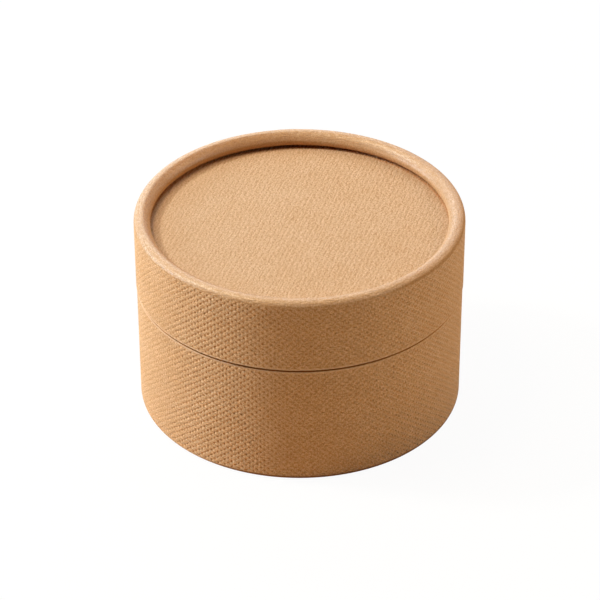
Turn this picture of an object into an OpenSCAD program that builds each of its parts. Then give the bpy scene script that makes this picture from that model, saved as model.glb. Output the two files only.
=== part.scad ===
// Round paper gift box in millimetres, +Z up, origin at the centre of its underside.
// A wrapped base tube holds a neck tube, and a lid with a rolled rim lifts off the neck.

/* [Overall size] */
// Outside diameter of the lid
lid_d = 80; // [50:0.5:160]
// Height of the closed box
box_h = 51; // [48:0.5:150]
// Height of the lid's lower edge when the box is closed
seam_z = 32; // [14:0.5:35]
// Gap at the seam between the lid and the base
seam_gap = 0.2; // [0.1:0.05:1]
// How much less the radius of the base is than that of the lid
base_step = 0.15; // [0:0.05:0.8]

/* [Board and paper] */
// Wall of the lid's wound board tube
lid_board_t = 1.3; // [0.6:0.05:1.6]
// Wall of the neck's wound board tube
neck_board_t = 1.2; // [0.6:0.05:3]
// Thickness of the board behind the top panel
top_board_t = 1.5; // [0.8:0.1:3]
// Thickness of the board in the bottom of the base
bottom_board_t = 1.8; // [0.8:0.1:4]
// Thickness of the embossed paper outside
wrap_t = 0.3; // [0.15:0.05:0.6]
// Thickness of the plain paper inside
lining_t = 0.15; // [0.15:0.05:0.5]
// Glue line between two round walls
glue_t = 0.05; // [0.02:0.01:0.1]

/* [Rolled rim] */
// Thickness of the roll at the top of the lid
roll_d = 4; // [3.6:0.1:7]
// How far the wall is rolled over, from upright outside to its cut edge
roll_angle = 255; // [200:5:270]
// Gap between the roll and the top panel
panel_gap = 0.1; // [0.05:0.05:1]

/* [Neck] */
// How far the neck stands above the base
neck_rise = 10; // [4:0.5:12.5]
// Gap all round between the neck and the inside of the lid
lid_clear = 0.2; // [0.1:0.05:0.6]

/* [Edges] */
// Radius on the outer corner of both papers at the seam
lip_r = 0.2; // [0.05:0.05:0.25]
// Radius of the base's lower outer edge
foot_r = 0.6; // [0.4:0.05:1.5]
// Bevel on the cut edges of the neck's board and facing and of the lid lining
cut_bevel = 0.1; // [0.05:0.01:0.12]
// Width of the wrap's margin glued under the base
turn_in_w = 8; // [4:0.5:20]
// Width of that margin that shows round the paper underneath
margin_w = 3; // [1:0.25:3.5]
// Width over which the paper underneath steps off the margin
step_w = 0.6; // [0.4:0.1:2]
// How far the lid lining stops short of the lid's lower edge
lining_back = 0.6; // [0:0.1:3]

/* [Hidden] */

$fn = 160;
arc_fn = 48;

kraft = [0.88, 0.71, 0.54];
raw_board = [0.72, 0.57, 0.42];
plain_paper = [0.84, 0.69, 0.53];

// Radii of the lid, from its outside inwards
lid_r = lid_d / 2;
lid_board_out = lid_r - wrap_t;
lid_board_in = lid_board_out - lid_board_t;
lid_lining_out = lid_board_in - glue_t;
lid_lining_in = lid_lining_out - lining_t;

// Radii of the neck, from its outside inwards
neck_r = lid_lining_in - lid_clear;
neck_board_out = neck_r - lining_t - glue_t;
neck_board_in = neck_board_out - neck_board_t;
neck_lining_out = neck_board_in - glue_t;
neck_lining_in = neck_lining_out - lining_t;

// Radii of the base, whose board fills the space between its wrap and the neck
base_r = lid_r - base_step;
base_board_out = base_r - wrap_t;
base_board_in = neck_r + glue_t;

// Centre of the roll's cross-section
roll_r = roll_d / 2;
roll_at = [lid_r - roll_r, box_h - roll_r];

// Heights of the top panel, downwards from the roll
panel_r = lid_board_in - glue_t;
panel_top = box_h - roll_d - panel_gap;
top_board_z = panel_top - wrap_t;
ceiling_z = top_board_z - top_board_t;
panel_z = ceiling_z - lining_t;

// Heights of the base, upwards from the table
turn_in_z = wrap_t;
bottom_z = turn_in_z + wrap_t;
floor_z = bottom_z + bottom_board_t;
base_top = seam_z - seam_gap;
neck_top = base_top + neck_rise;
turn_in_r = base_r - turn_in_w;
underside_r = base_r - margin_w;

// Rectangle of a wall's section, from radius r0 to r1 and from height z0 to z1
module wall(r0, r1, z0, z1) {
    translate([r0, z0])
        square([r1 - r0, z1 - z0]);
}

// Takes a rounding of radius rad off a section's outer corner at point at, upper or lower
module rounded_off(at, rad, upper) {
    side = upper ? 1 : -1;
    difference() {
        children();
        translate(at - [rad, side * rad])
            difference() {
                mirror([0, upper ? 0 : 1])
                    square(2 * rad);
                circle(r = rad, $fn = arc_fn);
            }
    }
}

// Takes a bevel off a section's corner at point at
module bevelled(at) {
    difference() {
        children();
        translate(at)
            rotate(45)
                square(cut_bevel * sqrt(2), center = true);
    }
}

// Section of one rolled layer, from radius r0 to r1 about the roll's centre
module roll_section(r0, r1) {
    reach = 2 * r1;
    steps = 6;
    translate(roll_at)
        difference() {
            circle(r = r1, $fn = arc_fn);
            circle(r = r0, $fn = arc_fn);
            polygon(concat([[0, 0]], [
                for (i = [0 : steps])
                    let (a = roll_angle + (360 - roll_angle) * i / steps)
                        reach * [cos(a), sin(a)]
            ]));
        }
}

// Embossed paper round the lid, which follows the roll over to its cut edge
module lid_outer_wrap() {
    color(kraft)
        rotate_extrude() {
            rounded_off([lid_r, seam_z], lip_r, false)
                wall(lid_board_out, lid_r, seam_z, roll_at.y);
            roll_section(roll_r - wrap_t, roll_r);
        }
}

// Wound board tube of the lid, with its top rolled inwards over the panel
module lid_board_tube() {
    color(raw_board)
        rotate_extrude() {
            wall(lid_board_in, lid_board_out, seam_z, roll_at.y);
            roll_section(roll_r - wrap_t - lid_board_t, roll_r - wrap_t);
        }
}

// Plain paper tube inside the lid, which slides over the neck and carries the panel's edge
module lid_inner_lining() {
    color(plain_paper)
        rotate_extrude()
            bevelled([lid_lining_in, seam_z + lining_back])
                wall(lid_lining_in, lid_lining_out, seam_z + lining_back, panel_z);
}

// Embossed paper over the top panel, turned down round the edge of its board
module lid_top_facing() {
    color(kraft)
        difference() {
            translate([0, 0, ceiling_z])
                cylinder(r = panel_r, h = panel_top - ceiling_z);
            translate([0, 0, ceiling_z - 1])
                cylinder(r = panel_r - wrap_t, h = top_board_t + 1);
        }
}

// Round board that stiffens the top panel
module lid_top_board() {
    color(raw_board)
        translate([0, 0, ceiling_z])
            cylinder(r = panel_r - wrap_t - glue_t, h = top_board_t);
}

// Plain paper under the top panel
module lid_ceiling_paper() {
    color(plain_paper)
        translate([0, 0, panel_z])
            cylinder(r = panel_r, h = lining_t);
}

// Embossed paper round the base, turned in under its lower edge
module base_outer_wrap() {
    color(kraft)
        rotate_extrude()
            rounded_off([base_r, base_top], lip_r, true)
                difference() {
                    rounded_off([base_r, turn_in_z], foot_r, false)
                        wall(turn_in_r, base_r, turn_in_z, base_top);
                    rounded_off([base_board_out, bottom_z], foot_r - wrap_t, false)
                        wall(turn_in_r - 1, base_board_out, bottom_z, base_top + 1);
                }
}

// Wound board tube of the base
module base_board_tube() {
    color(raw_board)
        rotate_extrude()
            rounded_off([base_board_out, bottom_z], foot_r - wrap_t, false)
                wall(base_board_in, base_board_out, bottom_z, base_top);
}

// Round board in the bottom of the base, on which the neck stands
module base_bottom_board() {
    color(raw_board)
        translate([0, 0, bottom_z])
            cylinder(r = neck_r, h = bottom_board_t);
}

// Plain paper underneath, which steps over the raw edge of the turned-in margin
module base_underside_paper() {
    step_r = turn_in_r - step_w;
    color(plain_paper)
        rotate_extrude()
            polygon([
                [0, wrap_t],
                [step_r - wrap_t / 2, wrap_t],
                [turn_in_r - wrap_t / 2, 0],
                [underside_r, 0],
                [underside_r, wrap_t],
                [turn_in_r, wrap_t],
                [step_r, bottom_z],
                [0, bottom_z]
            ]);
}

// Plain paper on the floor of the box
module base_floor_paper() {
    color(plain_paper)
        translate([0, 0, floor_z])
            cylinder(r = neck_lining_in - glue_t, h = lining_t);
}

// Plain paper round the neck
module neck_outer_facing() {
    color(plain_paper)
        rotate_extrude()
            bevelled([neck_r, neck_top])
                wall(neck_r - lining_t, neck_r, floor_z, neck_top);
}

// Wound board tube of the neck, glued inside the base
module neck_board_tube() {
    color(raw_board)
        rotate_extrude()
            bevelled([neck_board_out, neck_top])
                bevelled([neck_board_in, neck_top])
                    wall(neck_board_in, neck_board_out, floor_z, neck_top);
}

// Plain paper inside the neck, which is the inner wall of the box
module neck_inner_lining() {
    color(plain_paper)
        rotate_extrude()
            wall(neck_lining_in, neck_lining_out, floor_z, neck_top);
}

lid_outer_wrap();
lid_board_tube();
lid_inner_lining();
lid_top_facing();
lid_top_board();
lid_ceiling_paper();
base_outer_wrap();
base_board_tube();
base_bottom_board();
base_underside_paper();
base_floor_paper();
neck_outer_facing();
neck_board_tube();
neck_inner_lining();
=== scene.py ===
# %% [markdown]
# A round gift box of kraft paper stands shut. Its lid has a rim that is rolled over a sunken
# panel, and the lid slips over a neck that stands up inside the base. This lesson dresses the
# box's plain CAD solids: it turns each paper and board from its own section, presses the
# embossing into them, finishes them with procedural materials, and lights and frames them.

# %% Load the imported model
import math

import bpy
import numpy as np
from mathutils import Matrix, Vector


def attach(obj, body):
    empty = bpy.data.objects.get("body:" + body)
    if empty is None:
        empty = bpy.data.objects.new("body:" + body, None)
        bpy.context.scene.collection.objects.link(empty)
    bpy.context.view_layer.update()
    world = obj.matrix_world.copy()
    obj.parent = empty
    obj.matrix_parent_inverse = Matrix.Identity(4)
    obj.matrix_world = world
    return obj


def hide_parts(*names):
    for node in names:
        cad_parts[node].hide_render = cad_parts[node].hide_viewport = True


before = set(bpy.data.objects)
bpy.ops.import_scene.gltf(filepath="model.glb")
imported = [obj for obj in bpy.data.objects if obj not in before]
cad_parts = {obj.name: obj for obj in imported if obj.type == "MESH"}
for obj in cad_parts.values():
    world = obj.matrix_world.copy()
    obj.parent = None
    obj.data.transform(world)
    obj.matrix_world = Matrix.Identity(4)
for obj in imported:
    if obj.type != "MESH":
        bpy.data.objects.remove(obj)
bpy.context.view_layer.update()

# %% [markdown]
# Every size comes from the CAD nodes, so that a new piece lies exactly where its node lies. The
# box is round, so a node is described by the radii and heights of its points. Typing the sizes
# in again would be shorter, but they would drift from the model when it changes.

# %% Measure radii and heights
MM = 0.001


def node_points(node):
    """Points of a CAD node as rows of x, y and z in mm"""
    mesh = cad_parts[node].data
    flat = np.empty(3 * len(mesh.vertices))
    mesh.vertices.foreach_get("co", flat)
    return flat.reshape(-1, 3) / MM


def span(node, low=-1.0, high=999.0):
    """Inner and outer radius, and lower and upper height, of a node's points between two heights"""
    points = node_points(node)
    points = points[(points[:, 2] > low) & (points[:, 2] < high)]
    radius = np.hypot(points[:, 0], points[:, 1])
    values = radius.min(), radius.max(), points[:, 2].min(), points[:, 2].max()
    return [round(float(value), 3) for value in values]


rim_in, lid_r, seam_z, box_top = span("lid_outer_wrap")
lid_board_in, lid_board_out = span("lid_board_tube", high=seam_z + 1)[:2]
panel_r, ceiling_z, panel_top = span("lid_top_facing")[1:]
base_r, turn_in_z, base_top = span("base_outer_wrap")[1:]
roll_r = (lid_r - rim_in) / 2
roll_at = (lid_r - roll_r, box_top - roll_r)
wrap_t = round(lid_r - lid_board_out, 3)
print(f"Lid radius {lid_r}, box height {box_top}, seam at {seam_z}, roll radius {roll_r} mm")

# %% [markdown]
# All walls of the box are turned forms: a section that goes round the axis. A section is drawn
# by extruding one point from place to place, as a pen does, and the spin tool takes it round.
# Cylinders with solidified walls would also do for the straight papers, but not for the rolled
# rim, so one helper turns them all.

# %% Turn a section round the axis
def arc(centre, radius, start, end, steps):
    """Points of an arc in a section, from angle start to end in degrees"""
    turns = np.radians(np.linspace(start, end, steps + 1))
    return [(centre[0] + radius * math.cos(a), centre[1] + radius * math.sin(a)) for a in turns]


def rows(start, end, spacing):
    """Points of a straight stretch in a section, about spacing apart"""
    steps = max(1, round(math.dist(start, end) / spacing))
    part = np.linspace(0, 1, steps + 1)
    return [(start[0] + (end[0] - start[0]) * s, start[1] + (end[1] - start[1]) * s) for s in part]


WELD = 2e-6


def turned(name, section, steps, crease=40):
    """Turns a section of (radius, height) points in mm round the Z axis"""
    bpy.ops.object.select_all(action="DESELECT")
    place = (section[0][0] * MM, 0, section[0][1] * MM)
    bpy.ops.mesh.primitive_plane_add(size=MM, location=place)
    piece = bpy.context.object
    piece.name = piece.data.name = name
    bpy.ops.object.mode_set(mode="EDIT")
    bpy.ops.mesh.select_all(action="SELECT")
    bpy.ops.mesh.merge(type="CENTER")
    for here, there in zip(section, section[1:]):
        step = ((there[0] - here[0]) * MM, 0, (there[1] - here[1]) * MM)
        if math.hypot(step[0], step[2]) > 1e-7:
            bpy.ops.mesh.extrude_region_move(TRANSFORM_OT_translate={"value": step})
    bpy.ops.mesh.select_all(action="SELECT")
    bpy.ops.mesh.remove_doubles(threshold=WELD)
    bpy.ops.object.mode_set(mode="OBJECT")
    bpy.ops.object.transform_apply(location=True, rotation=False, scale=False)
    bpy.ops.object.modifier_add(type="SCREW")
    screw = piece.modifiers[-1]
    screw.steps = screw.render_steps = steps
    screw.use_merge_vertices = True
    screw.merge_threshold = WELD
    bpy.ops.object.modifier_apply(modifier=screw.name)
    bpy.ops.object.mode_set(mode="EDIT")
    bpy.ops.mesh.select_all(action="SELECT")
    bpy.ops.mesh.remove_doubles(threshold=WELD)
    bpy.ops.mesh.normals_make_consistent(inside=False)
    bpy.ops.object.mode_set(mode="OBJECT")
    bpy.ops.object.shade_smooth_by_angle(angle=math.radians(crease))
    print(f"{name}: {len(section)} points turned in {steps} steps, {len(piece.data.polygons)} faces")
    return piece

# %% [markdown]
# The paper is embossed with a plate of small pits, set in two families of slanting rows. The
# photo shows about 135 pits round the lid. One rule says how deep the plate presses at a place,
# which is counted in cells along the two families. It is written with plain sums, so that the
# mesh and later the material can both use it: real relief holds the outline and the close
# views, and the material's relief has the sharpness that a mesh can't afford.

# %% Give the rule of the embossing
COLUMNS = 135
PITCH = math.tau * lid_r / COLUMNS
ROW_RISE = 1.54
SLANT = math.radians(49)
ALONG_ROWS = math.atan2(ROW_RISE, PITCH)
LEAN_TURNS = (-4, 18)


def leaning(angle, way=1.0):
    """Across and upward parts of a direction, whose lean may be turned over from 1 to -1"""
    level = 1 - way * way
    return math.cos(angle) + (1 - math.cos(angle)) * level, math.sin(angle) * way


def pit(lean, fall, nearest, power_of_e, long, wide, along):
    """How deep the plate presses, from 0 to 1, at a place counted in cells"""
    lean_part = lean - nearest(lean)
    fall_part = fall - nearest(fall)
    right = (lean_part - fall_part) * (PITCH / 2)
    above = (lean_part + fall_part) * (ROW_RISE / 2)
    far = (right * along[0] + above * along[1]) * (1 / long)
    off = (above * along[0] - right * along[1]) * (1 / wide)
    return power_of_e((far * far + off * off) * -1)


def eased(value, start, end):
    """Goes smoothly from 0 at start to 1 at end"""
    part = np.clip((value - start) / (end - start), 0, 1)
    return part * part * (3 - 2 * part)


def pressed(x, ease):
    """How hard the plate bit at a place from left to right: hardest left of the middle"""
    left = 1.07 - 0.8 * ease(x, -22, -34)
    middle = 1 - 0.4 * ease(x, -15, 1)
    return left * middle + 0.4 * ease(x, 4, 24)


def points_of(piece):
    """Points of a new piece as rows of x, y and z in mm"""
    flat = np.empty(3 * len(piece.data.vertices))
    piece.data.vertices.foreach_get("co", flat)
    return flat.reshape(-1, 3) / MM


def set_points(piece, points):
    """Moves the points of a piece to new places in mm"""
    piece.data.vertices.foreach_set("co", (points * MM).ravel())
    piece.data.update()


def pleats(turn, count, seed):
    """How high gathered paper stands, from 0 to 1, at angles round the axis"""
    draws = np.random.default_rng(seed)
    folds = (np.arange(count) + draws.uniform(-0.35, 0.35, count)) * math.tau / count
    force = draws.uniform(0.3, 1, count)
    past = (turn[:, None] - folds) % math.tau * (count / math.tau)
    behind = past.argmin(axis=1)
    return force[behind] * (1 - past.min(axis=1).clip(0, 1)) ** 1.5


def emboss_side(piece, radius, low, high, lap_at):
    """Presses the pits into the outside of a round wrap, and lays its lap over"""
    points = points_of(piece)
    turn = np.arctan2(points[:, 0], -points[:, 1])
    across = np.hypot(points[:, 0], points[:, 1])
    side = turn * COLUMNS / math.tau
    up = points[:, 2] / ROW_RISE
    fade = eased(points[:, 2], low, low + 0.5) * (1 - eased(points[:, 2], high - 0.5, high))
    way = 1 - 2 * eased(points[:, 0], *LEAN_TURNS)
    pits = pit(side + up, up - side, np.round, np.exp, 0.42, 0.28, leaning(SLANT, way))
    pits *= fade * (across > radius - 0.15) * pressed(points[:, 0], eased)
    past_lap = (turn - math.radians(lap_at)) % math.tau * radius
    lap = 0.1 * eased(past_lap, 0, 0.35) * (1 - eased(past_lap, 4.5, 7.5))
    moved = across - RELIEF * pits + lap * (across > radius - 4)
    points[:, :2] *= (moved / across)[:, None]
    set_points(piece, points)
    print(f"{piece.name}: {int((pits > 0.5).sum())} points lie deep in the pits")

# %% [markdown]
# The lid's wrap is one sheet that goes up the side and follows the board over the rim, down to
# its cut edge just above the panel. Its section is a closed loop, so the paper has its real
# thickness at the seam and at the cut edge. Its rows lie close enough to carry the dents.

# %% Wrap the lid
RELIEF = 0.035
SKIN_STEPS = 5 * COLUMNS
ROW = 0.262
ROLL_END = 255
LID_LIP = 0.12
lid_edge = seam_z + 0.12
SQUARENESS = 2.5
INNER_SQUARENESS = 1.6
PRESSED_FLAT = 0.85


def rolled(radius, start, end, steps):
    """Points of the roll's section: squarer outside, slanted inside and pressed flatter below"""
    points = []
    for a in np.radians(np.linspace(start, end, steps + 1)):
        out, up = math.cos(a), math.sin(a)
        power = INNER_SQUARENESS if out < 0 < up else SQUARENESS
        size = radius / (abs(out) ** power + abs(up) ** power) ** (1 / power)
        flat = PRESSED_FLAT if up < 0 else 1
        points.append((roll_at[0] + out * size, roll_at[1] + up * size * flat))
    return points


lid_wrap_section = [(lid_board_out, lid_edge)]
lid_wrap_section += arc((lid_r - LID_LIP, lid_edge + LID_LIP), LID_LIP, -90, 0, 3)
lid_wrap_section += rows((lid_r, lid_edge + LID_LIP), (lid_r, roll_at[1]), ROW)[1:]
lid_wrap_section += rolled(roll_r, 0, ROLL_END, 40)[1:]
lid_wrap_section += rolled(roll_r - wrap_t, ROLL_END, 0, 16)
lid_wrap_section += [(lid_board_out, lid_edge)]
lid_wrap = turned("embossed_lid_wrap", lid_wrap_section, SKIN_STEPS)
emboss_side(lid_wrap, lid_r, lid_edge + LID_LIP, roll_at[1] + 0.9, 180)
points = points_of(lid_wrap)
across = np.hypot(points[:, 0], points[:, 1])
turn = np.arctan2(points[:, 0], -points[:, 1])
from_roll = np.hypot(across - roll_at[0], points[:, 2] - roll_at[1])
roll_turn = np.degrees(np.arctan2(points[:, 2] - roll_at[1], across - roll_at[0])) % 360
gathered = eased(roll_turn, 130, 230) * (roll_turn < 262) * (from_roll > roll_r * PRESSED_FLAT - 0.1)
moved = across - 0.05 * pleats(turn, 120, 3) * gathered
points[:, :2] *= (moved / across)[:, None]
set_points(lid_wrap, points)

# %% [markdown]
# The base's wrap is the same paper. It is turned round the lower edge and glued down in a margin
# under the bottom, where it has to gather in pleats because the circle gets smaller.

# %% Wrap the base
FOOT = 0.6
PLEATS = 76
BASE_LIP = 0.25
base_edge = base_top - 0.08
margin_in = span("base_outer_wrap", high=turn_in_z + 0.1)[0]

base_wrap_section = [(base_r - wrap_t, base_edge)]
base_wrap_section += arc((base_r - BASE_LIP, base_edge - BASE_LIP), BASE_LIP, 90, 0, 3)
base_wrap_section += rows((base_r, base_edge - BASE_LIP), (base_r, turn_in_z + FOOT), 0.27)[1:]
base_wrap_section += arc((base_r - FOOT, turn_in_z + FOOT), FOOT, 0, -90, 6)[1:]
base_wrap_section += rows((base_r - FOOT, turn_in_z), (base_r - 3.2, turn_in_z), 0.33)[1:]
base_wrap_section += rows((base_r - 3.2, turn_in_z), (margin_in, turn_in_z), 1.6)[1:]
base_wrap_section += [(margin_in, turn_in_z + wrap_t), (base_r - FOOT, turn_in_z + wrap_t)]
base_wrap_section += arc((base_r - FOOT, turn_in_z + FOOT), FOOT - wrap_t, -90, 0, 3)[1:]
base_wrap_section += [(base_r - wrap_t, base_edge)]
base_wrap = turned("embossed_base_wrap", base_wrap_section, SKIN_STEPS)
emboss_side(base_wrap, base_r, turn_in_z + FOOT, base_edge - BASE_LIP, 186)
points = points_of(base_wrap)
across = np.hypot(points[:, 0], points[:, 1])
turn = np.arctan2(points[:, 0], -points[:, 1])
gathered = eased(across, base_r - FOOT, base_r - 2.4) * (points[:, 2] < turn_in_z + 0.01)
points[:, 2] -= 0.14 * pleats(turn, PLEATS, 5) * gathered
set_points(base_wrap, points)

# %% [markdown]
# The panel's facing is a disc of the same paper, so its pattern runs straight over it and isn't
# bent round the axis. A square grid is drawn out into a round one, which keeps its cells even and
# leaves no pole in the middle. The edge is then turned down round the panel's board.

# %% Face the panel
PANEL_CELLS = 248
PANEL_ROUND = 0.25


def round_from_square(x, y):
    """Draws the points of a square from -1 to 1 out into a disc of radius 1"""
    size = np.maximum(np.abs(x), np.abs(y))
    length = np.hypot(x, y)
    scale = np.divide(size, length, out=np.ones_like(size), where=length > 1e-9)
    return x * scale, y * scale


bpy.ops.object.select_all(action="DESELECT")
bpy.ops.mesh.primitive_grid_add(
    x_subdivisions=PANEL_CELLS, y_subdivisions=PANEL_CELLS,
    size=2 * panel_r * MM, location=(0, 0, panel_top * MM))
panel_facing = bpy.context.object
panel_facing.name = panel_facing.data.name = "embossed_panel_facing"
bpy.ops.object.transform_apply(location=True, rotation=False, scale=False)
points = points_of(panel_facing)
disc_x, disc_y = round_from_square(points[:, 0] / panel_r, points[:, 1] / panel_r)
points[:, 0] = disc_x * panel_r
points[:, 1] = disc_y * panel_r
set_points(panel_facing, points)
bpy.ops.object.mode_set(mode="EDIT")
bpy.ops.mesh.select_all(action="SELECT")
bpy.ops.mesh.region_to_loop()
skirt = panel_top - ceiling_z
inside = (panel_r - wrap_t) / panel_r
bpy.ops.mesh.extrude_region_move(TRANSFORM_OT_translate={"value": (0, 0, -skirt * MM)})
bpy.ops.mesh.extrude_region_move()
bpy.ops.transform.resize(value=(inside, inside, 1))
bpy.ops.mesh.extrude_region_move(TRANSFORM_OT_translate={"value": (0, 0, (skirt - wrap_t) * MM)})
bpy.ops.mesh.edge_face_add()
bpy.ops.mesh.select_all(action="SELECT")
bpy.ops.mesh.normals_make_consistent(inside=False)
bpy.ops.object.mode_set(mode="OBJECT")
bpy.ops.object.shade_smooth_by_angle(angle=math.radians(40))

PANEL_TURN = math.radians(34)
points = points_of(panel_facing)
right = points[:, 0] * math.cos(PANEL_TURN) + points[:, 1] * math.sin(PANEL_TURN)
above = points[:, 1] * math.cos(PANEL_TURN) - points[:, 0] * math.sin(PANEL_TURN)
pits = pit(right / PITCH + above / ROW_RISE, above / ROW_RISE - right / PITCH,
           np.round, np.exp, 0.75, 0.26, leaning(ALONG_ROWS))
pits *= (points[:, 2] > panel_top - 0.01) * (np.hypot(points[:, 0], points[:, 1]) < panel_r - 0.2)
points[:, 2] -= 0.02 * pits
edge_fall = eased(np.hypot(points[:, 0], points[:, 1]), rim_in + 0.2, panel_r - 0.9)
edge_fall *= 1.6 * eased(points[:, 0], 18, -8) - 0.6
points[:, 2] -= PANEL_ROUND * edge_fall * (points[:, 2] > panel_top - wrap_t - 0.01)
set_points(panel_facing, points)

_, panel_board_r, board_bottom, board_top = span("lid_top_board")
panel_board_section = rows((0, board_top), (rim_in - 0.3, board_top), 6)
panel_board_section += [(panel_r - 1.4, board_top - PANEL_ROUND), (panel_board_r, board_bottom + 0.5)]
panel_board_section += [(panel_board_r, board_bottom), (0, board_bottom)]
panel_board = turned("pressed_panel_board", panel_board_section, 256, 60)
print(f"embossed_panel_facing: {len(panel_facing.data.polygons)} faces")

# %% [markdown]
# The tubes are wound from several plies of board. They show only at the cut edges, so small
# grooves between the plies are cut into those edges. A texture alone would look printed on
# when the lid is off and light grazes the edge.

# %% Wind the board tubes
PLIES = 3
GROOVE = 0.06
CRUSHED = 0.3


def cut_edge(start, end):
    """Points along a cut edge of a section, with a small groove between its plies"""
    start = Vector((start[0], start[1], 0))
    end = Vector((end[0], end[1], 0))
    along = (end - start).normalized()
    inwards = Vector((along.y, -along.x, 0))
    points = [start]
    for ply in range(1, PLIES):
        middle = start.lerp(end, ply / PLIES)
        points += [middle - along * GROOVE, middle + inwards * GROOVE, middle + along * GROOVE]
    return [(p.x, p.y) for p in points + [end]]


inner_roll = roll_r - lid_board_out + lid_board_in - wrap_t
roll_inside = rolled(inner_roll, 0, ROLL_END, 12)
roll_outside = rolled(roll_r - wrap_t, ROLL_END, 0, 24)
lid_board_section = cut_edge((lid_board_out - CRUSHED, seam_z), (lid_board_in, seam_z))
lid_board_section += [(lid_board_in, roll_at[1])] + roll_inside
lid_board_section += cut_edge(roll_inside[-1], roll_outside[0])[1:] + roll_outside[1:]
lid_board_section += [(lid_board_out, seam_z + 0.5), (lid_board_out - CRUSHED, seam_z)]
lid_board = turned("rolled_lid_board", lid_board_section, 256)

neck_in, neck_out, neck_low, neck_top = span("neck_board_tube")
neck_board_section = cut_edge((neck_in, neck_top), (neck_out, neck_top))
neck_board_section += [(neck_out, neck_low), (neck_in, neck_low), (neck_in, neck_top)]
neck_board = turned("wound_neck_board", neck_board_section, 256)

board_in, board_out, board_low = span("base_board_tube")[:3]
base_board_section = cut_edge((board_in, base_top), (board_out - CRUSHED, base_top))
base_board_section += [(board_out, base_top - 0.5)]
base_board_section += arc((base_r - FOOT, turn_in_z + FOOT), FOOT - wrap_t, 0, -90, 3)
base_board_section += [(board_in, board_low), (board_in, base_top)]
base_board = turned("wound_base_board", base_board_section, 256)

# %% [markdown]
# Plain paper faces everything inside. Each sheet is a thin closed shell, and each tube has a lap,
# where the sheet runs over its own start. The lap is what tells a real lined tube from a smooth pipe.

# %% Line the neck, the lid and the two ends
PAPER_STEPS = 360


def lined_tube(name, node, lap_at, outwards, bevel=0.0):
    """Turns the thin paper tube of a node and lays its lap over"""
    inner, outer, low, high = span(node)
    if outwards:
        section = [(outer, low), (outer, high - bevel), (outer - bevel, high), (inner, high)]
        section += [(inner, low), (outer, low)]
    else:
        section = [(inner, high), (inner, low + bevel), (inner + bevel, low), (outer, low)]
        section += [(outer, high), (inner, high)]
    piece = turned(name, section, PAPER_STEPS)
    points = points_of(piece)
    turn = np.degrees(np.arctan2(points[:, 1], points[:, 0]))
    across = np.hypot(points[:, 0], points[:, 1])
    past_lap = (turn - lap_at) * math.pi / 180 * outer
    lap = 0.06 * eased(past_lap, -0.2, 0.5) * (1 - eased(past_lap, 5, 8))
    shown = across > outer - 0.12 if outwards else across < inner + 0.12
    moved = across + lap * shown * (1 if outwards else -1)
    points[:, :2] *= (moved / across)[:, None]
    set_points(piece, points)
    return piece


neck_facing = lined_tube("neck_facing_paper", "neck_outer_facing", 62, True, 0.1)
neck_lining = lined_tube("neck_lining_paper", "neck_inner_lining", 118, False)
lid_lining = lined_tube("lid_lining_paper", "lid_inner_lining", 75, False, 0.1)


def paper_disc(name, node):
    """Turns the thin round paper of a node, slightly uneven over its glue"""
    _, outer, low, high = span(node)
    section = rows((0, high), (outer, high), 1.2)
    section += rows((outer, low), (0, low), 4)
    piece = turned(name, section, 128)
    points = points_of(piece)
    waves = np.random.default_rng(11).uniform(-0.5, 0.5, (6, 3))
    for along, over, start in waves:
        points[:, 2] += 0.012 * np.sin(points[:, 0] * along + points[:, 1] * over + start * 6)
    set_points(piece, points)
    return piece


floor_paper = paper_disc("floor_paper_disc", "base_floor_paper")
ceiling_paper = paper_disc("panel_ceiling_paper_disc", "lid_ceiling_paper")

# %% [markdown]
# The paper underneath covers the inner edge of the turned-in margin and steps down over it. Its
# outer ring carries the box, so it lies flat on the table there.

# %% Cover the underside
under_r, under_low, under_high = span("base_underside_paper")[1:]
under_section = rows((0, wrap_t), (margin_in - 0.75, wrap_t), 2.4)
under_section += [(margin_in - 0.45, 0.16), (margin_in - 0.15, 0)]
under_section += rows((margin_in - 0.15, 0), (under_r, 0), 0.6)[1:]
under_section += [(under_r, wrap_t), (margin_in, wrap_t), (margin_in - 0.6, under_high), (0, under_high)]
underside = turned("underside_paper_disc", under_section, 640, 60)
points = points_of(underside)
across = np.hypot(points[:, 0], points[:, 1])
turn = np.arctan2(points[:, 0], -points[:, 1])
flat_ring = (points[:, 2] < 0.01) * eased(across, margin_in - 0.3, margin_in + 0.5)
points[:, 2] += 0.06 * (1 - pleats(turn, PLEATS, 5)) * flat_ring
set_points(underside, points)

# %% [markdown]
# Each finish is built from nodes in code. A small class wraps a socket, so that sums of sockets
# can be written as plain sums, and one method adds every other node. Without it, each product
# would take four lines.

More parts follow.
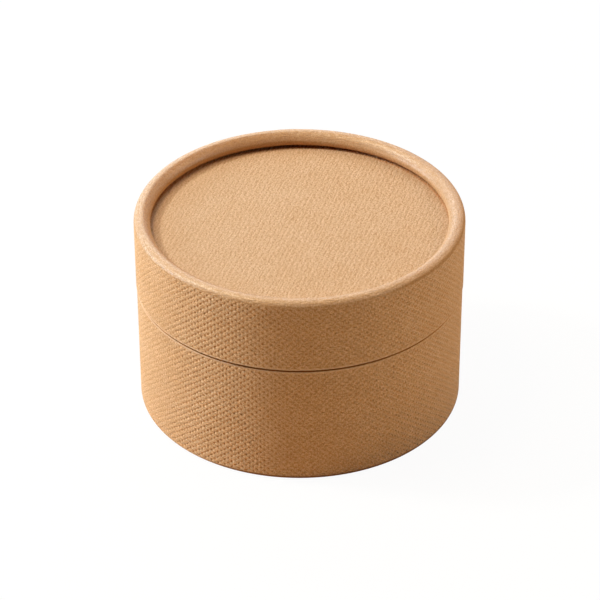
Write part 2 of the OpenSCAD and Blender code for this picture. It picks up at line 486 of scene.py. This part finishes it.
# %% Write shader sums as plain sums
class Field:
    """A value over a surface, on which sums and products add Math nodes"""

    def __init__(self, tree, socket=None):
        self.tree = tree
        self.socket = socket

    def node(self, kind, settings=None, inputs=None, output=0):
        """Adds a node of a kind, first its settings and then its values and links"""
        node = self.tree.nodes.new("ShaderNode" + kind)
        for name, value in (settings or {}).items():
            if name == "stops":
                for element, (position, colour) in zip(node.color_ramp.elements, value):
                    element.position = position
                    element.color = colour
            else:
                setattr(node, name, value)
        for name, value in (inputs or {}).items():
            if isinstance(value, Field):
                self.tree.links.new(value.socket, node.inputs[name])
            else:
                node.inputs[name].default_value = value
        return Field(self.tree, node.outputs[output])

    def sum_of(self, operation, first, second):
        """Adds a Math node for two values or fields"""
        return self.node("Math", {"operation": operation}, {0: first, 1: second})

    def __add__(self, other):
        return self.sum_of("ADD", self, other)

    def __sub__(self, other):
        return self.sum_of("SUBTRACT", self, other)

    def __rsub__(self, other):
        return self.sum_of("SUBTRACT", other, self)

    def __mul__(self, other):
        return self.sum_of("MULTIPLY", self, other)

    __radd__ = __add__
    __rmul__ = __mul__

    def nearest(self):
        """The nearest whole number"""
        return self.sum_of("ROUND", self, 0.0)

    def power_of_e(self):
        """The number e to the power of this field"""
        return self.sum_of("EXPONENT", self, 0.0)


def noise(field, place, size, detail=3.0, rough=0.5):
    """Adds noise whose features are about size mm across"""
    return field.node("TexNoise", {}, {
        "Vector": place, "Scale": 1 / (size * MM), "Detail": detail, "Roughness": rough})


def between(field, mask, first, second):
    """Adds a Mix node that goes from the first colour to the second"""
    return field.node("Mix", {"data_type": "RGBA"}, {0: mask, 6: first, 7: second}, 2)


def band(field, value, start, end):
    """Goes smoothly from 0 where a field is at start to 1 where it is at end"""
    return field.node("MapRange", {"interpolation_type": "SMOOTHSTEP"}, {
        "Value": value, "From Min": start, "From Max": end})


def strip(field, value, start, end):
    """Is 1 where a field lies between start and end, and falls off softly beyond both"""
    return band(field, value, start - 0.12, start) * band(field, value, end + 0.12, end)


def shade(colour, amount):
    """A kraft colour made lighter or darker, and at the same time paler or redder"""
    red, green, blue = colour
    return (red * amount, green * amount ** 1.75, blue * amount ** 3.0, 1.0)

# %% [markdown]
# Kraft paper is brown and matte, with soft clouds in its tone, fine fibres and a few dark flecks.
# Everything reads Object coordinates in mm, so that the finish moves with the lid.

# %% Make plain paper and board
KRAFT = (0.745, 0.462, 0.254)
PLAIN = (0.69, 0.44, 0.24)
BOARD = (0.44, 0.26, 0.125)


def new_finish(name):
    """A new material, its shader, a field on its tree, and the place on the piece in metres"""
    material = bpy.data.materials.new(name)
    material.use_nodes = True
    shader = material.node_tree.nodes["Principled BSDF"]
    shader.inputs["Specular IOR Level"].default_value = 0.2
    field = Field(material.node_tree)
    return material, shader, field, field.node("TexCoord", output="Object")


def feed(shader, name, value):
    """Links a field to a socket of the shader"""
    value.tree.links.new(value.socket, shader.inputs[name])


def paper_tone(field, place, colour):
    """The colour of paper with its clouds, mottle, grain and flecks"""
    clouds = band(field, noise(field, place, 9, 3.0), 0.3, 0.7)
    mottle = band(field, noise(field, place, 1.2, 2.0), 0.3, 0.7)
    grain = band(field, noise(field, place, 0.3, 0.0), 0.33, 0.67)
    flecks = band(field, noise(field, place, 0.9, 2.0), 0.7, 0.78)
    tone = between(field, clouds, shade(colour, 1.07), shade(colour, 1.12))
    tone = between(field, mottle * 0.2, tone, shade(colour, 0.9))
    tone = between(field, grain * 0.64, tone, shade(colour, 0.7))
    return between(field, flecks * 0.2, tone, shade(colour, 0.6))


def plain_paper(name, colour, grain, sheen):
    """A matte paper or board with a fine grain of fibres"""
    material, shader, field, place = new_finish(name)
    shader.inputs["Specular IOR Level"].default_value = sheen
    feed(shader, "Base Color", paper_tone(field, place, colour))
    fibres = noise(field, place, 0.35, 4.0, 0.65)
    feed(shader, "Roughness", 0.78 + 0.15 * fibres)
    feed(shader, "Normal", field.node("Bump", {}, {
        "Strength": 1.0, "Distance": 0.001, "Height": fibres * grain}))
    return material


lining_paper = plain_paper("lining_paper", PLAIN, 0.04, 0.2)
raw_board = plain_paper("raw_board", BOARD, 0.08, 0.05)

# %% [markdown]
# The embossed paper has the pits of the same rule. No two are quite alike, and a slow noise moves
# them a little, as paper creeps under a plate. On the side they are counted round the axis, and on
# the flat panel straight across. Painted shade darkens the shaded wall of each pit.

# %% Make the embossed papers
# colour of the painted shade on the shaded wall of each pit
PIT_SHADE_COLOUR = (0.565, 0.246, 0.078, 1)
PANEL_KRAFT = (0.61, 0.378, 0.217)
STREAK_LONG = 1.3
STREAK_WIDE = 0.3
BESIDE = 0.28
BELOW = 0.13
FIBRES = 0.21
SIDE = {"long": 0.33, "wide": 0.22, "depth": 0.33, "spot": (0.21, 0.36, SLANT), "dark": 1.0,
        "creep": 0.4, "strand": 0.2, "strands": (1.7, 3.6)}
PANEL = {"long": 0.6, "wide": 0.2, "depth": 0.07, "spot": (0.5, 0.22, ALONG_ROWS), "dark": 0.1,
         "creep": 0.4, "strand": 0.34, "strands": (1.1, 2.0)}


def embossed_finish(shader, place, tone, nap, cells, along, shown, look):
    """Completes an embossed paper from its tone, nap, cells, the lean of its pits and where they show"""
    field = place
    strand_along = cells[0] * look["strands"][0]
    strand_across = cells[1] * look["strands"][1]
    here, beside = (field.node("TexNoise", {}, {
        "Vector": field.node("CombineXYZ", {}, {0: strand_along, 1: strand_across + step}),
        "Scale": 1.0, "Detail": 2.0}) for step in (0.0, 0.45))
    strands = band(field, here - beside, -0.2, 0.2) * shown
    lean = cells[0] + (noise(field, place, 1.1, 1.0) - 0.5) * look["creep"]
    fall = cells[1] + (noise(field, place, 1.3, 1.0) - 0.5) * look["creep"]
    cell = field.node("CombineXYZ", {}, {0: lean.nearest(), 1: fall.nearest()})
    force = field.node("TexWhiteNoise", {"noise_dimensions": "2D"}, {"Vector": cell})
    force = 0.6 + 0.4 * force
    pits = force * shown * pit(lean, fall, Field.nearest, Field.power_of_e, look["long"], look["wide"], along)
    lean = lean + (BESIDE / PITCH + BELOW / ROW_RISE)
    fall = fall - (BESIDE / PITCH - BELOW / ROW_RISE)
    spot_long, spot_wide, spot_lean = look["spot"]
    # painted shade: dark spots sit beside each pit's hollow, on the wall that the lamps leave in shade
    painted_pit_shade = pit(lean, fall, Field.nearest, Field.power_of_e, spot_long, spot_wide, leaning(spot_lean))
    painted_pit_shade = force * painted_pit_shade * field.sum_of("POWER", shown, 0.5)
    tone = between(field, strands * look["strand"], tone, shade(KRAFT, 1.22))
    tone = between(field, painted_pit_shade * look["dark"], tone, PIT_SHADE_COLOUR)
    feed(shader, "Base Color", tone)
    fibres = noise(field, place, 0.32, 3.0, 0.7)
    feed(shader, "Roughness", 0.7 + 0.2 * fibres)
    height = fibres * FIBRES + nap + strands * (0.04 * look["strand"]) - pits * look["depth"]
    feed(shader, "Normal", field.node("Bump", {}, {
        "Strength": 1.0, "Distance": 0.001, "Height": height}))


def side_paper():
    """The embossed paper as it goes round the lid and the base"""
    material, shader, field, place = new_finish("embossed_side_paper")
    x = field.node("SeparateXYZ", {}, {0: place}, 0)
    y = field.node("SeparateXYZ", {}, {0: place}, 1)
    z = field.node("SeparateXYZ", {}, {0: place}, 2)
    side = field.sum_of("ARCTAN2", x, y * -1) * (COLUMNS / math.tau)
    up = z * (1 / (ROW_RISE * MM))
    height = z * (1 / MM)
    shown = band(field, height, turn_in_z + FOOT, turn_in_z + FOOT + 0.5)
    shown = shown * (1 - band(field, height, base_edge - BASE_LIP - 0.4, base_edge - BASE_LIP)
                     + band(field, height, lid_edge + LID_LIP, lid_edge + LID_LIP + 0.4))
    rolled_over = band(field, height, roll_at[1] + 0.5, roll_at[1] + 1.1)
    across = field.sum_of("SQRT", x * x + y * y, 0.0) * (1 / MM)
    shown = shown * band(field, across, lid_r - 0.7, lid_r - 0.4)
    from_left = x * (1 / MM)
    shown = shown * pressed(from_left, lambda value, start, end: band(field, value, start, end))
    way = 1 - 2 * band(field, from_left, *LEAN_TURNS)
    inner = band(field, across, rim_in + 1.3, rim_in + 0.3) * band(field, height, roll_at[1] - 3, roll_at[1] - 2)
    streak_place = field.node("CombineXYZ", {}, {
        0: side * (PITCH / STREAK_LONG), 1: across * (1 / STREAK_WIDE), 2: height * (1 / STREAK_WIDE)})
    streaks = band(field, field.node("TexNoise", {}, {
        "Vector": streak_place, "Scale": 1.0, "Detail": 2.0}), 0.3, 0.7)
    shine = band(field, noise(field, place, 0.5, 2.0), 0.35, 0.65)
    inside = band(field, across, roll_at[0] + 0.2, roll_at[0] - 0.6)
    rubbed_from = roll_at[1] + 0.7 + 0.6 * band(field, from_left, 15, 30)
    rubbed = band(field, height - rubbed_from, 0.0, 0.6) * (1 - inside)
    rubbed = rubbed + inside * band(field, height, roll_at[1] - 0.2, roll_at[1] + 0.4)
    feed(shader, "Coat Weight", rubbed * (0.45 + 0.55 * shine))
    shader.inputs["Coat Roughness"].default_value = 0.42
    shader.inputs["Coat IOR"].default_value = 1.7
    tone = paper_tone(field, place, KRAFT)
    # painted shade: the roll's inner face is multiplied darker, most on the left, and its outer top on the
    # right, where the lamps leave them in shade
    painted_rim_shade = inside * (0.15 + 0.85 * band(field, from_left, 15, -25))
    painted_rim_shade = painted_rim_shade + (1 - inside) * rolled_over * band(field, from_left, 15, 30) * 0.5
    tone = field.node("Mix", {"data_type": "RGBA", "blend_type": "MULTIPLY"}, {
        0: painted_rim_shade, 6: tone, 7: shade((1, 1, 1), 0.66)}, 2)
    tone = between(field, rolled_over * streaks * 0.7, tone, shade(KRAFT, 0.77))
    # painted shade: the inner face of the roll, which looks down into the sunken panel, is painted darker
    tone = between(field, inner * 0.4, tone, shade(KRAFT, 0.8))
    # painted shade: the underside of the roll, in the gap above the panel, is painted a dark warm brown
    painted_under_roll_shade = inside * band(field, height, roll_at[1] - 0.6, roll_at[1] - 1.4)
    tone = between(field, painted_under_roll_shade * 0.8, tone, (0.5, 0.2, 0.05, 1))
    # painted highlight: the rounded lips on either side of the seam are painted paler, most on the left, where
    # the lamps catch them
    painted_lip_highlight = strip(field, height, base_edge - 0.45, base_edge - 0.15)
    painted_lip_highlight = painted_lip_highlight + strip(field, height, lid_edge + 0.12, lid_edge + 0.4)
    painted_lip_highlight = painted_lip_highlight * (0.6 - 0.5 * band(field, from_left, 5, 28))
    tone = between(field, painted_lip_highlight, tone, shade(KRAFT, 1.2))
    # the wraps' cut ends at the seam are painted dark brown: partly the colour of cut paper, partly painted
    # shade of the seam gap
    cut_and_seam_shade = strip(field, height, base_edge - 0.02, lid_edge + 0.02)
    tone = between(field, cut_and_seam_shade, tone, (0.52, 0.2, 0.05, 1))
    # painted shadow: the rounded lower edge of the base is painted near black-brown where it meets the floor,
    # except at the far left
    painted_foot_shadow = band(field, height, turn_in_z + 1.0, turn_in_z + 0.6) * band(field, from_left, -32, -12)
    painted_foot_shadow = painted_foot_shadow * band(field, across, base_r - FOOT, base_r - 0.25)
    tone = between(field, painted_foot_shadow, tone, (0.28, 0.11, 0.03, 1))
    nap = streaks * rolled_over * 0.14
    embossed_finish(shader, place, tone, nap, (up + side, up - side), leaning(SLANT, way),
                    shown * (1 - rolled_over), SIDE)
    return material


def right_of(field, place):
    """How many mm a place lies to the right of the axis"""
    return field.node("SeparateXYZ", {}, {0: place}, 0) * (1 / MM)


def panel_paper():
    """The embossed paper on the flat panel"""
    material, shader, field, place = new_finish("embossed_panel_paper")
    flat = field.node("VectorRotate", {"rotation_type": "Z_AXIS"}, {"Vector": place, "Angle": -PANEL_TURN})
    right = field.node("SeparateXYZ", {}, {0: flat}, 0) * (1 / (PITCH * MM))
    above = field.node("SeparateXYZ", {}, {0: flat}, 1) * (1 / (ROW_RISE * MM))
    tone = paper_tone(field, place, PANEL_KRAFT)
    # painted light: the panel is painted paler towards the left, where the key lamp falls
    tone = between(field, 0.14 * band(field, right_of(field, place), 15, -35), tone, shade(PANEL_KRAFT, 1.25))
    x = field.node("SeparateXYZ", {}, {0: place}, 0)
    y = field.node("SeparateXYZ", {}, {0: place}, 1)
    across = field.sum_of("SQRT", x * x + y * y, 0.0) * (1 / MM)
    # painted shade: the panel's edge under the roll is painted a dark warm brown
    tone = between(field, band(field, across, rim_in - 0.1, rim_in + 0.6) * 0.9, tone, (0.5, 0.19, 0.045, 1))
    embossed_finish(shader, place, tone, 0.0, (above + right, above - right), leaning(ALONG_ROWS),
                    1.0, PANEL)
    return material


side_kraft = side_paper()
panel_kraft = panel_paper()

# %% [markdown]
# Each piece now takes its finish, hides the CAD node it stands for and rides on its body, so
# that it moves with the lid or stays with the base. The bottom board keeps its CAD form,
# because it is a hidden disc of the right shape, and only takes the board's finish.

# %% Dress the bodies
dressed = [
    (lid_wrap, "lid_outer_wrap", "lid", side_kraft),
    (lid_board, "lid_board_tube", "lid", raw_board),
    (panel_facing, "lid_top_facing", "lid", panel_kraft),
    (panel_board, "lid_top_board", "lid", raw_board),
    (ceiling_paper, "lid_ceiling_paper", "lid", lining_paper),
    (lid_lining, "lid_inner_lining", "lid_lining", lining_paper),
    (base_wrap, "base_outer_wrap", "base", side_kraft),
    (base_board, "base_board_tube", "base", raw_board),
    (underside, "base_underside_paper", "base", lining_paper),
    (floor_paper, "base_floor_paper", "base", lining_paper),
    (neck_facing, "neck_outer_facing", "base", lining_paper),
    (neck_board, "neck_board_tube", "base", raw_board),
    (neck_lining, "neck_inner_lining", "base", lining_paper),
]
for piece, node, body, material in dressed:
    piece.data.materials.append(material)
    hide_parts(node)
    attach(piece, body)
bottom_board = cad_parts["base_bottom_board"]
bottom_board.data.materials.clear()
bottom_board.data.materials.append(raw_board)
print(f"{len(dressed)} pieces replace their CAD nodes")

# %% [markdown]
# The floor is plain and pale. The camera sees it white with a faint shadow, while the box is lit
# by its warm bounce, as in the photo, where the shaded side glows a deep brown.

# %% Lay the floor
bpy.ops.object.select_all(action="DESELECT")
bpy.ops.mesh.primitive_plane_add(size=6, location=(0, 0, 0))
floor = bpy.context.object
floor.name = "studio_floor"
floor_finish = bpy.data.materials.new("pale_floor")
floor_finish.use_nodes = True
tree = floor_finish.node_tree
tree.nodes.remove(tree.nodes["Principled BSDF"])
field = Field(tree)
seen = field.node("LightPath", output="Is Camera Ray")
seen = field.sum_of("MAXIMUM", seen, field.node("LightPath", output="Is Glossy Ray"))
seen = field.sum_of("MAXIMUM", seen, field.node("LightPath", output="Is Transmission Ray"))
warm = field.node("BsdfDiffuse", {}, {"Color": (0.8, 0.58, 0.38, 1)})
glow = field.node("Emission", {}, {"Color": (1, 1, 1, 1), "Strength": 0.95})
matte = field.node("BsdfDiffuse", {}, {"Color": (0.05, 0.05, 0.05, 1)})
white = field.node("AddShader", {}, {0: glow, 1: matte})
mixed = field.node("MixShader", {}, {0: seen, 1: warm, 2: white})
tree.links.new(mixed.socket, tree.nodes["Material Output"].inputs["Surface"])
floor.data.materials.append(floor_finish)

# %% Light the box
world = bpy.data.worlds.new("studio") if bpy.context.scene.world is None else bpy.context.scene.world
bpy.context.scene.world = world
world.use_nodes = True
world.node_tree.nodes.clear()
field = Field(world.node_tree)
seen = field.node("LightPath", output="Is Camera Ray")
seen = field.sum_of("MAXIMUM", seen, field.node("LightPath", output="Is Glossy Ray"))
seen = field.sum_of("MAXIMUM", seen, field.node("LightPath", output="Is Transmission Ray"))
strength = 1.0 * seen
sky = field.node("Background", {}, {"Color": (1, 1, 1, 1), "Strength": strength})
out = world.node_tree.nodes.new("ShaderNodeOutputWorld")
world.node_tree.links.new(sky.socket, out.inputs["Surface"])


LAMP_FAR = 0.9


def softbox(name, azimuth, elevation, size, level):
    """A round lamp towards the box, from azimuth degrees right of the camera's side"""
    a, e = math.radians(azimuth), math.radians(elevation)
    way = Vector((math.sin(a) * math.cos(e), -math.cos(a) * math.cos(e), math.sin(e)))
    light = bpy.data.lights.new(name, "AREA")
    light.shape = "DISK"
    light.size = size
    light.energy = max(level) * math.pi ** 2 * LAMP_FAR ** 2
    light.color = [part / max(level) for part in level]
    lamp = bpy.data.objects.new(name, light)
    lamp.location = Vector((0, 0, 0.04)) + way * LAMP_FAR
    lamp.rotation_euler = way.to_track_quat("Z", "Y").to_euler()
    bpy.context.collection.objects.link(lamp)
    return lamp


softbox("key_lamp", -98, 46, 0.12, (0.5, 0.52, 0.47))
softbox("high_softbox", -90, 68, 0.35, (0.45, 0.355, 0.215))
softbox("left_softbox", -97, 12, 0.5, (0.46, 0.57, 0.65))
softbox("back_left_softbox", -150, 12, 0.8, (0.13, 0.24, 0.34))
softbox("low_right_softbox", 80, 8, 0.5, (0.11, 0.15, 0.145))
softbox("right_softbox", 100, 35, 0.6, (0.35, 0.25, 0.155))
softbox("back_softbox", 180, 40, 0.8, (0.28, 0.33, 0.355))

# %% Set the camera
ELEVATION = math.radians(34.018)
ROLL = -0.00303
aim = Vector((0.05, 0, 25.06)) * MM
forward = Vector((0, math.cos(ELEVATION), -math.sin(ELEVATION)))
level_right = Vector((1, 0, 0))
level_up = level_right.cross(forward)
right_way = level_right * math.cos(ROLL) + level_up * math.sin(ROLL)
up_way = level_up * math.cos(ROLL) - level_right * math.sin(ROLL)
lens = bpy.data.cameras.new("photo_camera")
lens.sensor_width = 36
lens.lens = 162.55
lens.clip_start = 0.01
camera = bpy.data.objects.new("photo_camera", lens)
camera.matrix_world = Matrix.Translation(aim - forward * 0.6671) @ Matrix(
    (right_way, up_way, -forward)).transposed().to_4x4()
bpy.context.collection.objects.link(camera)
bpy.context.scene.camera = camera
bpy.context.scene.view_settings.view_transform = "Standard"
